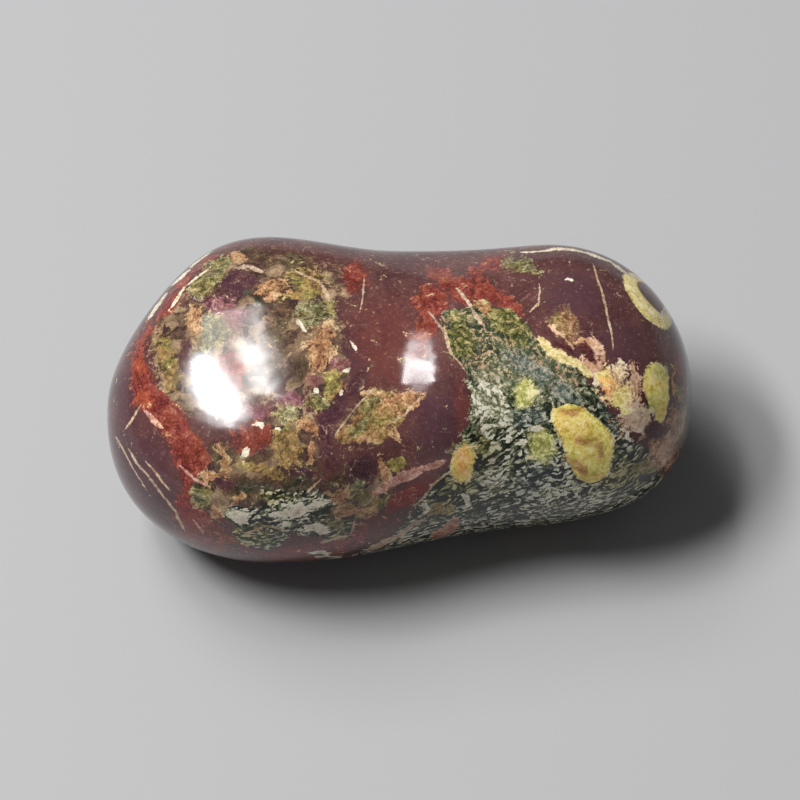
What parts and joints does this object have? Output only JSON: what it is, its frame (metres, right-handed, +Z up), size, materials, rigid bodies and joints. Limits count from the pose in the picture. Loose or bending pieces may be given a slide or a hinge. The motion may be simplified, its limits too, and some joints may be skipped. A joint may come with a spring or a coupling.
{
  "type": "dragon blood jasper tumbled stone",
  "caption": "Rounded two-lobed polished pebble of mottled red, maroon and green jasper, to hold or display; it lies on a small flat on its broad underside.",
  "frame": {"origin": "on the floor under the middle of the pebble's outline", "axes": "+X along the pebble from its blunt end to its narrow end, +Y towards its back, +Z up from the flat it rests on"},
  "size_m": [0.038, 0.0208, 0.0182],
  "materials": {
    "polished_jasper": "polished"
  },
  "bodies": {
    "root": {"tumbled_stone": "polished_jasper"}
  },
  "joints": []
}
